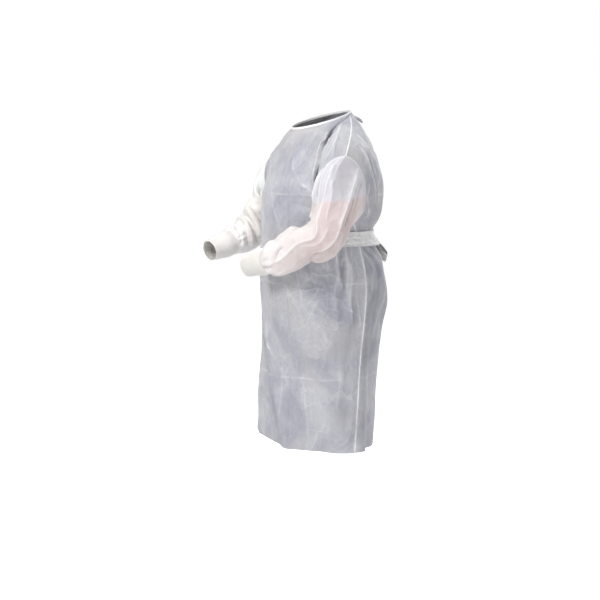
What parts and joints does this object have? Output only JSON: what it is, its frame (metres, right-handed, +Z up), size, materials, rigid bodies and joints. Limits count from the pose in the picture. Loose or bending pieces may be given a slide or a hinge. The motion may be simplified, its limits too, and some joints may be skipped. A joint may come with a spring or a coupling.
{
  "type": "isolation gown",
  "caption": "Worn long-sleeved isolation gown, hollow and open at neck, hem and cuffs, lapped and tied behind the neck and waist.",
  "frame": {"origin": "middle of the neck at the level of the sides of the neckline, where the gown hangs on its wearer", "axes": "+Z up the body, -Y out of the front, +X to the wearer's left"},
  "size_m": [0.6354, 0.4807, 1.0244],
  "materials": {
    "body_cloth": "matt non-woven cloth, cool white, slightly translucent",
    "sleeve_cloth": "matt non-woven cloth, warm white where an arm would show through",
    "knit": "fine rib knit, cream white",
    "strip_cloth": "folded non-woven strip, white"
  },
  "bodies": {
    "root": {"front_panel": "body_cloth", "back_panel_left": "body_cloth", "back_panel_right": "body_cloth", "sleeve_left": "sleeve_cloth", "sleeve_right": "sleeve_cloth", "cuff_left": "knit", "cuff_right": "knit", "neck_binding": "strip_cloth", "neck_knot": "strip_cloth", "neck_loop_left": "strip_cloth", "neck_loop_right": "strip_cloth", "neck_tail_left": "strip_cloth", "neck_tail_right": "strip_cloth", "waist_tie_left": "strip_cloth", "waist_tie_right": "strip_cloth", "waist_knot": "strip_cloth", "waist_loop_left": "strip_cloth", "waist_loop_right": "strip_cloth", "waist_tail_left": "strip_cloth", "waist_tail_right": "strip_cloth"}
  },
  "joints": []
}
